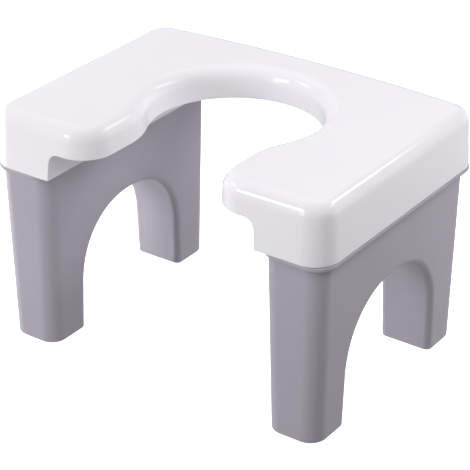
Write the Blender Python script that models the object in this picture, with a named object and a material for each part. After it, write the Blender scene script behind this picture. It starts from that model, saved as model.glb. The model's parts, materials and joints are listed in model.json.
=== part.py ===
"""Toilet stool: a keyhole seat moulding on two arched tub legs, with foot pads and fixing screws.

Units are metres, +Z is up and the front is towards -Y. The origin is on the floor, under the
middle of the stool. The seat is a ribbed shell, open below, with one socket over each leg. Each leg
is a hollow tub, open above, with a rim flange that the seat's skirt stands on. Two screws for each
leg go up through wells in its arch into bosses under the seat.
"""

from math import asin, atan2, cos, pi, radians, sin, sqrt, tan

import bmesh
import bpy

# Seat, outside
SEAT_WIDTH = 0.450
SEAT_DEPTH = 0.3316
SEAT_HEIGHT = 0.291
SKIRT_DEPTH = 0.0693
LIP_DEPTH = 0.0365
LIP_FALL = 0.0026
SEAT_CORNER_RADIUS = 0.0308
SEAT_EDGE_RADIUS = 0.0174
BACK_EDGE_RADIUS = 1.886
SKIRT_DRAFT = radians(3.1)

# Keyhole opening, at the lower edge of its lip
HOLE_RADIUS = 0.1003
HOLE_CENTRE_Y = -0.0021
NECK_HALF_WIDTH = 0.078
ARM_SIDE_RADIUS = 0.095
ARM_CORNER_RADIUS = 0.039

# Sockets at the skirt's foot, and the corners of the space between them
SOCKET_WIDTH = 0.087
SPAN_CORNER_RADIUS = 0.013

# Seat, inside
SEAT_WALL = 0.003
RIB_THICKNESS = 0.0024
RIB_PITCH = 0.044
BACK_RIB_PITCH = 0.034
ARM_RIB_SETBACK = 0.0188
RIB_RECESS = 0.003
BOSS_WALL = 0.0044
LOCATOR_SPREAD = 0.015

# Leg, outside
LEG_FRONT_SETBACK = 0.0065
LEG_BACK_SETBACK = 0.0219
LEG_SIDE_SETBACK = 0.0064
SOCKET_CLEARANCE = 0.003
LEG_SIDE_TAPER = 0.0045
LEG_END_TAPER = 0.0024
LEG_OUTER_CORNER = 0.0205
LEG_INNER_CORNER = 0.0188
FLANGE_THICKNESS = 0.0052
FLANGE_FRONT_SETBACK = 0.0014
FLANGE_BACK_SETBACK = 0.001
FLANGE_SIDE_SETBACK = 0.0003
FLANGE_SPAN_SETBACK = 0.002
FLANGE_OUTER_CORNER = 0.026
FLANGE_INNER_CORNER = 0.025
SPIGOT_HEIGHT = 0.030
SPIGOT_STEP = 0.0012
FOOT_EDGE_RADIUS = 0.0015

# Arch through each leg, and the feet that it leaves
FOOT_LENGTH = 0.0621
ARCH_RISE = 0.0911
ARCH_HEIGHT = 0.1477
ARCH_DRAFT = 0.0016
ARCH_ROUNDNESS = 2.2
ARCH_EDGE_RADIUS = 0.008

# Leg, inside
LEG_WALL = 0.003
ARCH_WALL = 0.0034
FOOT_FLOOR = 0.004
LEG_RIB_THICKNESS = 0.0024
LEG_RIB_RECESS = 0.004
WELL_CLEARANCE = 0.0021
WELL_WALL = 0.0025
WELL_WEB = 0.004

# Screws
SCREW_RADIUS = 0.0015
SCREW_LENGTH = 0.025
SCREW_TIP_LENGTH = 0.0025
SCREW_TIP_RADIUS = 0.0004
SCREW_HEAD_RADIUS = 0.003
SCREW_HEAD_HEIGHT = 0.0022
SCREW_HEAD_CROWN = 0.0009

# Foot pads
PAD_MARGIN = 0.009
PAD_CORNER = 0.008
PAD_RECESS = 0.0014
PAD_STANDOUT = 0.0008
PAD_EDGE_RADIUS = 0.0005
PEG_RADIUS = 0.0026
PEG_HEAD_LIP = 0.001
PEG_HEAD_HEIGHT = 0.0024
PEG_SPREAD = 0.012

# Clearances, and how far a cutter runs past what it cuts
FIT_GAP = 0.0003
OVERRUN = 0.010

# Ribs on each side of the middle one
CROSS_RIBS_EACH_WAY = 3
BACK_RIBS_EACH_WAY = 2

# Facets
HOLE_STEPS = 16
CORNER_STEPS = 7
EDGE_STEPS = 5
TUNNEL_STEPS = 4
BACK_STEPS = 5
ARCH_STEPS = 12
HUMP_STEPS = 2
FOOT_STEPS = 2
ROUND_STEPS = 18
SHARP_ANGLE = radians(35)

# Heights and places that follow from the sizes above
SKIRT_BOTTOM = SEAT_HEIGHT - SKIRT_DEPTH
LIP_BOTTOM = SEAT_HEIGHT - LIP_DEPTH
SKIRT_FLARE = (LIP_BOTTOM - SKIRT_BOTTOM) * tan(SKIRT_DRAFT)
FRONT_Y = -SEAT_DEPTH / 2
BACK_Y = SEAT_DEPTH / 2 + SKIRT_FLARE - LIP_FALL / 2 * tan(SKIRT_DRAFT)
FLANGE_TOP = SKIRT_BOTTOM - FIT_GAP
FLANGE_BOTTOM = FLANGE_TOP - FLANGE_THICKNESS
SPIGOT_TOP = FLANGE_TOP + SPIGOT_HEIGHT
SEAT_BEARING = SPIGOT_TOP + FIT_GAP
SPAN_HALF_WIDTH = SEAT_WIDTH / 2 - SOCKET_WIDTH
SPAN_TOP_HALF_WIDTH = SPAN_HALF_WIDTH - SKIRT_FLARE
SOCKET_X = SPAN_HALF_WIDTH + SEAT_WALL
LEG_INNER_X = SOCKET_X + SOCKET_CLEARANCE
LEG_OUTER_X = SEAT_WIDTH / 2 - LEG_SIDE_SETBACK
LEG_CENTRE_X = (LEG_INNER_X + LEG_OUTER_X) / 2
LEG_LENGTH = SEAT_DEPTH - LEG_FRONT_SETBACK - LEG_BACK_SETBACK
LEG_CENTRE_Y = (LEG_FRONT_SETBACK - LEG_BACK_SETBACK) / 2
ARCH_HALF_WIDTH = LEG_LENGTH / 2 - FOOT_LENGTH
ARCH_SPRING = ARCH_HEIGHT - ARCH_RISE
WELL_CEILING = SPIGOT_TOP - WELL_WEB
WELL_RADIUS = SCREW_HEAD_RADIUS + WELL_CLEARANCE
HEAD_SEAT = WELL_CEILING - FIT_GAP
SCREW_TOP = HEAD_SEAT + SCREW_LENGTH
BOSS_RADIUS = SCREW_RADIUS + BOSS_WALL


def taper(z):
    """How far the drafted skirt and lip stand out at a height, against the lip's lower edge."""
    return (LIP_BOTTOM - z) * tan(SKIRT_DRAFT)


def arc(centre, radius, start, end, steps, side=1):
    """Stations (x, y, normal x, normal y) along an arc; side is -1 where its centre is open air."""
    stations = []
    for step in range(steps + 1):
        angle = start + (end - start) * step / steps
        across = cos(angle)
        along = sin(angle)
        place = (centre[0] + radius * across, centre[1] + radius * along)
        stations.append((*place, side * across, side * along))
    return stations


def back_corner(x, reach):
    """Centre of a corner that runs into the swept back, a reach away from it, and its closing angle."""
    sweep_y = BACK_Y - BACK_EDGE_RADIUS
    y = sweep_y + sqrt((BACK_EDGE_RADIUS - reach) ** 2 - x ** 2)
    return (x, y), atan2(y - sweep_y, x)


def outer_edge(inset):
    """Stations of the skirt's foot for x > 0, from the front corner to the middle of the swept back."""
    radius = SEAT_CORNER_RADIUS - inset
    corner_x = SEAT_WIDTH / 2 - SEAT_CORNER_RADIUS
    corner, turn = back_corner(corner_x, SEAT_CORNER_RADIUS)
    stations = arc((corner_x, FRONT_Y + SEAT_CORNER_RADIUS), radius, -pi / 2, 0, CORNER_STEPS)
    stations += arc(corner, radius, 0, turn, CORNER_STEPS)
    back = arc((0, BACK_Y - BACK_EDGE_RADIUS), BACK_EDGE_RADIUS - inset, turn, pi / 2, BACK_STEPS)
    return stations + back[1:]


def seat_outline():
    """Closed plan outline of the seat at the lip's lower edge, with its keyhole, as stations."""
    side_x = NECK_HALF_WIDTH + ARM_SIDE_RADIUS
    reach = HOLE_RADIUS + ARM_SIDE_RADIUS
    drop = sqrt(reach ** 2 - side_x ** 2)
    side_y = HOLE_CENTRE_Y - drop
    turn = asin(drop / reach)
    hole = arc((0, HOLE_CENTRE_Y), HOLE_RADIUS, pi / 2, -turn, HOLE_STEPS, side=-1)
    arm_side = arc((side_x, side_y), ARM_SIDE_RADIUS, pi - turn, pi, EDGE_STEPS)
    corner_centre = (NECK_HALF_WIDTH + ARM_CORNER_RADIUS, FRONT_Y + SKIRT_FLARE + ARM_CORNER_RADIUS)
    arm_corner = arc(corner_centre, ARM_CORNER_RADIUS, -pi, -pi / 2, CORNER_STEPS)
    half = hole + arm_side[1:] + arm_corner + outer_edge(SKIRT_FLARE)
    mirrored = [(-x, y, -nx, ny) for x, y, nx, ny in reversed(half[1:-1])]
    return half + mirrored


def ring(stations, offset, z):
    """Points of an outline moved out by an offset and set at a height."""
    return [(x + nx * offset, y + ny * offset, z) for x, y, nx, ny in stations]


def rounded_rectangle(x_low, x_high, y_low, y_high, inner_radius, outer_radius, steps):
    """Stations of a rounded rectangle, with one radius at x_low and another at x_high."""
    corners = (
        (x_high - outer_radius, y_low + outer_radius, outer_radius, -pi / 2),
        (x_high - outer_radius, y_high - outer_radius, outer_radius, 0),
        (x_low + inner_radius, y_high - inner_radius, inner_radius, pi / 2),
        (x_low + inner_radius, y_low + inner_radius, inner_radius, pi),
    )
    stations = []
    for x, y, radius, start in corners:
        stations += arc((x, y), radius, start, start + pi / 2, steps)
    return stations


def new_object(name, shape, side=1):
    """Store a bmesh as an object; side is -1 for the copy on the left, mirrored across X."""
    if side < 0:
        bmesh.ops.scale(shape, vec=(-1, 1, 1), verts=shape.verts)
        bmesh.ops.reverse_faces(shape, faces=shape.faces)
    data = bpy.data.meshes.new(name)
    shape.to_mesh(data)
    shape.free()
    item = bpy.data.objects.new(name, data)
    bpy.context.scene.collection.objects.link(item)
    return item


def loft(name, rings, side=1):
    """A closed solid through rings of points, from the lowest up, each counter-clockwise from above."""
    shape = bmesh.new()
    rows = [[shape.verts.new(point) for point in points] for points in rings]
    for low, high in zip(rows, rows[1:]):
        for index, corner in enumerate(low):
            after = (index + 1) % len(low)
            shape.faces.new((corner, low[after], high[after], high[index]))
    shape.faces.new(rows[0][::-1])
    shape.faces.new(rows[-1])
    return new_object(name, shape, side)


def turned(name, centre, profile, side=1):
    """A solid turned about a vertical axis from (radius, height) pairs, listed from the lowest up."""
    circle = arc(centre, 0, 0, 2 * pi, ROUND_STEPS)[:-1]
    return loft(name, [ring(circle, radius, z) for radius, z in profile], side)


def plate(name, low, high, side=1):
    """A rectangular plate between two opposite corners."""
    (x0, y0, z0), (x1, y1, z1) = low, high
    outline = ((x0, y0), (x1, y0), (x1, y1), (x0, y1))
    return loft(name, [[(x, y, z) for x, y in outline] for z in (z0, z1)], side)


def hidden(item):
    """Mark an object as a cutter, which is no part of the stool."""
    item.hide_render = True
    item.display_type = "WIRE"
    return item


def combine(target, operation, *tools):
    """Add one Boolean step to an object for each tool."""
    for tool in tools:
        step = target.modifiers.new(tool.name, "BOOLEAN")
        step.operation = operation
        step.solver = "EXACT"
        step.object = hidden(tool)
    return target


def combine_all(target, operation, name, tools):
    """Add one Boolean step to an object for a whole group of tools."""
    group = bpy.data.collections.new(name)
    bpy.context.scene.collection.children.link(group)
    for tool in tools:
        bpy.context.scene.collection.objects.unlink(tool)
        group.objects.link(hidden(tool))
    step = target.modifiers.new(name, "BOOLEAN")
    step.operation = operation
    step.solver = "EXACT"
    step.operand_type = "COLLECTION"
    step.collection = group
    return target


def material(name, color, roughness, metallic=0.0):
    """A Principled surface in one colour."""
    surface = bpy.data.materials.new(name)
    surface.use_nodes = True
    shader = surface.node_tree.nodes["Principled BSDF"]
    shader.inputs["Base Color"].default_value = (*color, 1.0)
    shader.inputs["Roughness"].default_value = roughness
    shader.inputs["Metallic"].default_value = metallic
    surface.diffuse_color = (*color, 1.0)
    return surface


def edge_profile(radius, wall=0.0):
    """Offsets and heights up the rounded top edge, at the surface or a wall's thickness inside it."""
    start_z = SEAT_HEIGHT - radius
    centre = taper(start_z) - radius
    reach = radius - wall
    pairs = []
    for step in range(EDGE_STEPS + 1):
        angle = pi / 2 * step / EDGE_STEPS
        pairs.append((centre + reach * cos(angle), start_z + reach * sin(angle)))
    return pairs


def seat_body():
    """The seat's outer form at full skirt depth, filled."""
    outline = seat_outline()
    rings = [ring(outline, SKIRT_FLARE, SKIRT_BOTTOM)]
    rings += [ring(outline, offset, z) for offset, z in edge_profile(SEAT_EDGE_RADIUS)]
    return loft("seat_shell", rings)


def seat_hollow(name):
    """The space inside the seat's walls, down past the skirt, not yet divided."""
    outline = seat_outline()
    bottom = SKIRT_BOTTOM - OVERRUN
    rings = [ring(outline, taper(bottom) - SEAT_WALL, bottom)]
    rings += [ring(outline, offset, z) for offset, z in edge_profile(SEAT_EDGE_RADIUS, SEAT_WALL)]
    return loft(name, rings)


def cross_rib_places():
    """Y of each rib that runs across the seat; the screws' bosses stand on two of them."""
    steps = range(-CROSS_RIBS_EACH_WAY, CROSS_RIBS_EACH_WAY + 1)
    return [LEG_CENTRE_Y + RIB_PITCH * step for step in steps]


def span_cutter():
    """The space between the two sockets, with drafted sides and rounded upper corners.

    It is cut up to the lip's lower edge, which falls a little from the front to the back.
    """
    inset = SPAN_CORNER_RADIUS * (1 - sin(SKIRT_DRAFT)) / cos(SKIRT_DRAFT)
    corner = (SPAN_TOP_HALF_WIDTH - inset, LIP_BOTTOM - SPAN_CORNER_RADIUS)
    right = [(x, z) for x, z, *_ in arc(corner, SPAN_CORNER_RADIUS, pi / 2, SKIRT_DRAFT, CORNER_STEPS)]
    foot = SKIRT_BOTTOM - OVERRUN
    right.append((SPAN_TOP_HALF_WIDTH + taper(foot), foot))
    profile = [(-x, z) for x, z in reversed(right)] + right
    reach = BACK_Y + OVERRUN
    fall = LIP_FALL * 2 * reach / SEAT_DEPTH
    shape = bmesh.new()
    face = shape.faces.new([shape.verts.new((x, -reach, z + fall / 2)) for x, z in profile])
    grown = bmesh.ops.extrude_face_region(shape, geom=[face])
    moved = [item for item in grown["geom"] if isinstance(item, bmesh.types.BMVert)]
    bmesh.ops.translate(shape, verts=moved, vec=(0, 2 * reach, -fall))
    bmesh.ops.recalc_face_normals(shape, faces=shape.faces)
    return new_object("seat_span", shape)


def span_ribs():
    """Ribs under the seat between the sockets: across it, along each arm and through the back."""
    low = LIP_BOTTOM + RIB_RECESS
    high = SEAT_HEIGHT
    half = RIB_THICKNESS / 2
    reach = BACK_Y + OVERRUN
    arm_x = SPAN_HALF_WIDTH - ARM_RIB_SETBACK
    ribs = []
    for y in cross_rib_places():
        ribs.append(plate("span_cross_rib", (-SOCKET_X, y - half, low), (SOCKET_X, y + half, high)))
    for side in (-1, 1):
        ribs.append(plate("arm_rib", (arm_x - half, -reach, low), (arm_x + half, reach, high), side))
    for step in range(-BACK_RIBS_EACH_WAY, BACK_RIBS_EACH_WAY + 1):
        x = BACK_RIB_PITCH * step
        ribs.append(plate("back_rib", (x - half, HOLE_CENTRE_Y, low), (x + half, reach, high)))
    return ribs


def spigot_face(gap):
    """Y of the front and of the back of the leg's top rim, with a gap in front of each."""
    half = leg_half_length(SPIGOT_TOP) - SPIGOT_STEP + gap
    return LEG_CENTRE_Y - half, LEG_CENTRE_Y + half


def socket_ribs(side):
    """Ribs, screw bosses and locating plates inside one socket."""
    half = RIB_THICKNESS / 2
    outer = SEAT_WIDTH / 2 + OVERRUN
    reach = BACK_Y + OVERRUN
    top = SEAT_HEIGHT
    ribs = []
    for y in cross_rib_places():
        low = (SPAN_HALF_WIDTH, y - half, SEAT_BEARING)
        ribs.append(plate("socket_cross_rib", low, (outer, y + half, top), side))
    low = (LEG_CENTRE_X - half, -reach, SEAT_BEARING)
    ribs.append(plate("socket_long_rib", low, (LEG_CENTRE_X + half, reach, top), side))
    boss = ((BOSS_RADIUS, SEAT_BEARING), (BOSS_RADIUS, top))
    for y in screw_places():
        ribs.append(turned("screw_boss", (LEG_CENTRE_X, y), boss, side))
    foot = SKIRT_BOTTOM + RIB_RECESS
    front, back = spigot_face(FIT_GAP)
    for x in (LEG_CENTRE_X - LOCATOR_SPREAD, LEG_CENTRE_X + LOCATOR_SPREAD):
        ribs.append(plate("front_locator", (x - half, -reach, foot), (x + half, front, top), side))
        ribs.append(plate("back_locator", (x - half, back, foot), (x + half, reach, top), side))
    outer_rim = leg_outer_x(SPIGOT_TOP) - SPIGOT_STEP + FIT_GAP
    inner_rim = leg_inner_x(SPIGOT_TOP) + SPIGOT_STEP - FIT_GAP
    for y in screw_places():
        low = (SPAN_HALF_WIDTH, y - half, foot)
        ribs.append(plate("inner_locator", low, (inner_rim, y + half, top), side))
        ribs.append(plate("outer_locator", (outer_rim, y - half, foot), (outer, y + half, top), side))
    return ribs


def make_seat(surface):
    """The seat moulding: skirt, lip, sockets, ribs and screw bosses in one shell."""
    seat = seat_body()
    combine(seat, "DIFFERENCE", span_cutter())
    below = SKIRT_BOTTOM - 2 * OVERRUN
    above = SEAT_HEIGHT + OVERRUN
    reach = BACK_Y + OVERRUN
    middle = seat_hollow("span_hollow")
    side_x = SPAN_TOP_HALF_WIDTH
    limit = plate("span_limit", (-side_x, -reach, below), (side_x, reach, above))
    combine(middle, "INTERSECT", limit)
    combine_all(middle, "DIFFERENCE", "span_ribs", span_ribs())
    combine(seat, "DIFFERENCE", middle)
    for side, word in ((-1, "left"), (1, "right")):
        socket = seat_hollow(f"{word}_socket_hollow")
        outer = SEAT_WIDTH / 2 + OVERRUN
        limit = plate(f"{word}_socket_limit", (SOCKET_X, -reach, below), (outer, reach, above), side)
        combine(socket, "INTERSECT", limit)
        combine_all(socket, "DIFFERENCE", f"{word}_socket_ribs", socket_ribs(side))
        combine(seat, "DIFFERENCE", socket)
    holes = []
    radius = SCREW_RADIUS + FIT_GAP
    pilot = ((radius, SEAT_BEARING - OVERRUN), (radius, SCREW_TOP + FIT_GAP))
    for side in (-1, 1):
        for y in screw_places():
            holes.append(turned("pilot_hole", (LEG_CENTRE_X, y), pilot, side))
    combine_all(seat, "DIFFERENCE", "pilot_holes", holes)
    seat.data.materials.append(surface)
    return seat


def depth_share(z):
    """How far a height lies down the leg, from 0 under its flange to 1 at the floor."""
    return (FLANGE_BOTTOM - z) / FLANGE_BOTTOM


def leg_outer_x(z):
    """X of the leg's outer face at a height."""
    return LEG_OUTER_X - LEG_SIDE_TAPER * depth_share(z)


def leg_inner_x(z):
    """X of the leg's inner face at a height."""
    return LEG_INNER_X + LEG_SIDE_TAPER * depth_share(z)


def leg_half_length(z):
    """Half the leg's length along Y at a height."""
    return LEG_LENGTH / 2 - LEG_END_TAPER * depth_share(z)


def leg_ring(z, inset=0.0):
    """Outline of the leg's wall at a height, moved in by an inset."""
    half = leg_half_length(z) - inset
    stations = rounded_rectangle(
        leg_inner_x(z) + inset, leg_outer_x(z) - inset, LEG_CENTRE_Y - half, LEG_CENTRE_Y + half,
        LEG_INNER_CORNER - inset, LEG_OUTER_CORNER - inset, CORNER_STEPS)
    return ring(stations, 0, z)


def screw_places():
    """Y of the front and of the back screw of each leg, each in line with a rib of the seat."""
    return LEG_CENTRE_Y - RIB_PITCH, LEG_CENTRE_Y + RIB_PITCH


def foot_reach():
    """Where a foot begins and ends along Y at the floor, as distances from the leg's middle."""
    return ARCH_HALF_WIDTH + ARCH_DRAFT, leg_half_length(0)


def foot_centres():
    """Y of the middle of the front and of the back foot."""
    middle = sum(foot_reach()) / 2
    return LEG_CENTRE_Y - middle, LEG_CENTRE_Y + middle


def foot_rounding():
    """Insets and heights up the rounded lower edge of a foot."""
    pairs = []
    for step in range(FOOT_STEPS + 1):
        angle = pi / 2 * step / FOOT_STEPS
        inset = FOOT_EDGE_RADIUS * (1 - sin(angle))
        pairs.append((inset, PAD_STANDOUT + FOOT_EDGE_RADIUS * (1 - cos(angle))))
    return pairs


def arch_profile(growth):
    """Arch outline as (y, z), up one foot's side, over the crown and down the other, grown outwards."""
    half = ARCH_HALF_WIDTH + growth
    rise = ARCH_RISE + growth
    power = 2 / ARCH_ROUNDNESS
    jamb = half + ARCH_DRAFT
    front = [(-jamb - FOOT_EDGE_RADIUS, -OVERRUN)]
    front += [(-jamb - inset, z) for inset, z in foot_rounding()]
    for step in range(ARCH_STEPS):
        angle = pi / 2 * step / ARCH_STEPS
        front.append((-half * cos(angle) ** power, ARCH_SPRING + rise * sin(angle) ** power))
    crown = (0, ARCH_SPRING + rise)
    return front + [crown] + [(-y, z) for y, z in reversed(front)]


def arch_tunnel(name, wall, steps, side):
    """The tunnel through a leg, flared at both faces so that its edges are left rounded.

    With a wall it is the hump that the leg's hollow goes round, that wall's thickness from the tunnel.
    """
    reach = ARCH_EDGE_RADIUS - wall
    flare = [(ARCH_EDGE_RADIUS, -OVERRUN)]
    for step in range(steps + 1):
        angle = pi / 2 * step / steps
        flare.append((ARCH_EDGE_RADIUS - reach * sin(angle), ARCH_EDGE_RADIUS - reach * cos(angle)))
    rows = []
    for growth, depth in flare:
        profile = arch_profile(growth)
        rows.append([(leg_inner_x(z) + depth, LEG_CENTRE_Y + y, z) for y, z in profile])
    for growth, depth in reversed(flare):
        profile = arch_profile(growth)
        rows.append([(leg_outer_x(z) - depth, LEG_CENTRE_Y + y, z) for y, z in profile])
    return outward(loft(name, rows, side))


def outward(item):
    """Turn every face of a closed mesh outwards."""
    shape = bmesh.new()
    shape.from_mesh(item.data)
    bmesh.ops.recalc_face_normals(shape, faces=shape.faces)
    shape.to_mesh(item.data)
    shape.free()
    return item


def flange(side):
    """The rim that the seat's skirt stands on, set back from the skirt and rounder at its inner corners."""
    inner_x = SPAN_HALF_WIDTH + FLANGE_SPAN_SETBACK + FLANGE_INNER_CORNER
    outer_x = SEAT_WIDTH / 2 - FLANGE_SIDE_SETBACK - FLANGE_OUTER_CORNER
    front_y = FRONT_Y + FLANGE_FRONT_SETBACK
    outer, outer_turn = back_corner(outer_x, FLANGE_BACK_SETBACK + FLANGE_OUTER_CORNER)
    inner, inner_turn = back_corner(inner_x, FLANGE_BACK_SETBACK + FLANGE_INNER_CORNER)
    corners = (
        ((outer_x, front_y + FLANGE_OUTER_CORNER), FLANGE_OUTER_CORNER, -pi / 2, 0),
        (outer, FLANGE_OUTER_CORNER, 0, outer_turn),
        (inner, FLANGE_INNER_CORNER, inner_turn, pi),
        ((inner_x, front_y + FLANGE_INNER_CORNER), FLANGE_INNER_CORNER, pi, 3 * pi / 2),
    )
    edge = []
    for centre, radius, first, last in corners:
        edge += arc(centre, radius, first, last, CORNER_STEPS)
    return loft("flange", [ring(edge, 0, z) for z in (FLANGE_BOTTOM, FLANGE_TOP)], side)


def leg_ribs(side):
    """Ribs and screw wells that stand in the leg's hollow."""
    half = LEG_RIB_THICKNESS / 2
    top = SPIGOT_TOP - LEG_RIB_RECESS
    inner = LEG_INNER_X - OVERRUN
    outer = LEG_OUTER_X + OVERRUN
    ribs = []
    for y in (*foot_centres(), *screw_places()):
        ribs.append(plate("leg_cross_rib", (inner, y - half, 0), (outer, y + half, top), side))
    low = (LEG_CENTRE_X - half, LEG_CENTRE_Y - ARCH_HALF_WIDTH, 0)
    high = (LEG_CENTRE_X + half, LEG_CENTRE_Y + ARCH_HALF_WIDTH, FLANGE_BOTTOM)
    ribs.append(plate("leg_long_rib", low, high, side))
    radius = WELL_RADIUS + WELL_WALL
    well = ((radius, ARCH_SPRING), (radius, SPIGOT_TOP + OVERRUN))
    for y in screw_places():
        ribs.append(turned("screw_well", (LEG_CENTRE_X, y), well, side))
    return ribs


def leg_holes(side):
    """Cutters for the screws' wells, the pads' recesses and the holes for the pads' pegs."""
    floor = PAD_STANDOUT + FOOT_FLOOR
    shaft_radius = SCREW_RADIUS + FIT_GAP
    peg_radius = PEG_RADIUS + FIT_GAP
    well = ((WELL_RADIUS, ARCH_SPRING), (WELL_RADIUS, WELL_CEILING))
    shaft = ((shaft_radius, WELL_CEILING - OVERRUN), (shaft_radius, SPIGOT_TOP + OVERRUN))
    peg_hole = ((peg_radius, 0), (peg_radius, floor + OVERRUN))
    holes = []
    for y in screw_places():
        holes.append(turned("well", (LEG_CENTRE_X, y), well, side))
        holes.append(turned("well_hole", (LEG_CENTRE_X, y), shaft, side))
    for y in foot_centres():
        outline = pad_outline(y, FIT_GAP)
        recess = [ring(outline, 0, z) for z in (-OVERRUN, PAD_STANDOUT + PAD_RECESS)]
        holes.append(loft("pad_recess", recess, side))
        for place in peg_places(y):
            holes.append(turned("peg_hole", place, peg_hole, side))
    return holes


def make_leg(side, word, surface):
    """One leg tub: rounded and tapered walls, an arch between two feet, rim flange, ribs and wells."""
    rings = [leg_ring(z, inset) for inset, z in foot_rounding()]
    rings.append(leg_ring(FLANGE_BOTTOM))
    rings += [leg_ring(z, SPIGOT_STEP) for z in (FLANGE_TOP, SPIGOT_TOP)]
    leg = loft(f"{word}_leg", rings, side)
    combine(leg, "UNION", flange(side))
    rings = [leg_ring(z, LEG_WALL) for z in (PAD_STANDOUT + FOOT_FLOOR, FLANGE_BOTTOM)]
    rings += [leg_ring(z, LEG_WALL + SPIGOT_STEP) for z in (FLANGE_TOP, SPIGOT_TOP + OVERRUN)]
    hollow = loft(f"{word}_leg_hollow", rings, side)
    combine(hollow, "DIFFERENCE", arch_tunnel("arch_hump", ARCH_WALL, HUMP_STEPS, side))
    combine_all(hollow, "DIFFERENCE", f"{word}_leg_ribs", leg_ribs(side))
    combine(leg, "DIFFERENCE", hollow, arch_tunnel("arch", 0, TUNNEL_STEPS, side))
    combine_all(leg, "DIFFERENCE", f"{word}_leg_holes", leg_holes(side))
    leg.data.materials.append(surface)
    return leg


def pad_outline(y, growth=0):
    """Plan outline of a foot pad, grown by a clearance."""
    start, end = foot_reach()
    half = (end - start) / 2 - PAD_MARGIN + growth
    low = leg_inner_x(0) + PAD_MARGIN - growth
    high = leg_outer_x(0) - PAD_MARGIN + growth
    radius = PAD_CORNER + growth
    return rounded_rectangle(low, high, y - half, y + half, radius, radius, EDGE_STEPS)


def peg_places(y):
    """Places of the two pegs of the pad whose middle is at a given Y, on either side of the foot's rib."""
    places = []
    for side in (-1, 1):
        places.append((LEG_CENTRE_X + side * PEG_SPREAD, y + side * PEG_SPREAD / 2))
    return places


def make_pad(side, name, y, surface):
    """A rubber pad in the foot's recess, held by two headed pegs pulled through the foot's floor."""
    outline = pad_outline(y)
    top = PAD_STANDOUT + PAD_RECESS - FIT_GAP
    rings = [ring(outline, -PAD_EDGE_RADIUS, 0), ring(outline, 0, PAD_EDGE_RADIUS), ring(outline, 0, top)]
    pad = loft(name, rings, side)
    head_z = PAD_STANDOUT + FOOT_FLOOR + FIT_GAP
    profile = (
        (PEG_RADIUS, PAD_EDGE_RADIUS),
        (PEG_RADIUS, head_z),
        (PEG_RADIUS + PEG_HEAD_LIP, head_z),
        (PEG_RADIUS, head_z + PEG_HEAD_HEIGHT),
    )
    pegs = [turned("peg", place, profile, side) for place in peg_places(y)]
    combine_all(pad, "UNION", f"{name}_pegs", pegs)
    pad.data.materials.append(surface)
    return pad


def make_screw(side, name, y, surface):
    """A pan-head screw up a leg's well, its shank through the web and into the seat's boss."""
    head_z = HEAD_SEAT - SCREW_HEAD_HEIGHT
    profile = (
        (SCREW_HEAD_RADIUS - SCREW_HEAD_CROWN, head_z),
        (SCREW_HEAD_RADIUS, head_z + SCREW_HEAD_CROWN),
        (SCREW_HEAD_RADIUS, HEAD_SEAT),
        (SCREW_RADIUS, HEAD_SEAT),
        (SCREW_RADIUS, SCREW_TOP - SCREW_TIP_LENGTH),
        (SCREW_TIP_RADIUS, SCREW_TOP),
    )
    screw = turned(name, (LEG_CENTRE_X, y), profile, side)
    screw.data.materials.append(surface)
    return screw


def smooth(item):
    """Shade round walls smooth and keep the sharper edges."""
    item.data.shade_smooth()
    item.data.set_sharp_from_angle(angle=SHARP_ANGLE)


def main():
    for item in list(bpy.data.objects):
        bpy.data.objects.remove(item, do_unlink=True)
    white = material("seat_white_gloss", (0.86, 0.86, 0.88), 0.22)
    grey = material("leg_grey_satin", (0.36, 0.355, 0.39), 0.42)
    rubber = material("pad_grey_rubber", (0.10, 0.10, 0.11), 0.80)
    steel = material("screw_zinc_steel", (0.62, 0.63, 0.65), 0.30, 1.0)
    stool = bpy.data.objects.new("stool", None)
    bpy.context.scene.collection.objects.link(stool)
    pieces = [make_seat(white)]
    for side, word in ((-1, "left"), (1, "right")):
        pieces.append(make_leg(side, word, grey))
        for end, y, screw_y in zip(("front", "back"), foot_centres(), screw_places()):
            pieces.append(make_pad(side, f"{word}_{end}_foot_pad", y, rubber))
            pieces.append(make_screw(side, f"{word}_{end}_screw", screw_y, steel))
    for item in pieces:
        smooth(item)
        item.parent = stool


main()
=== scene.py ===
import json
from math import acos, asin, atan2, ceil, cos, pi, radians, sin, sqrt, tan

import bmesh
import bpy
from bpy.props import FloatProperty, FloatVectorProperty, IntProperty, PointerProperty
from bpy.types import Operator, Panel, PropertyGroup
from mathutils import Matrix, Vector

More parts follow.
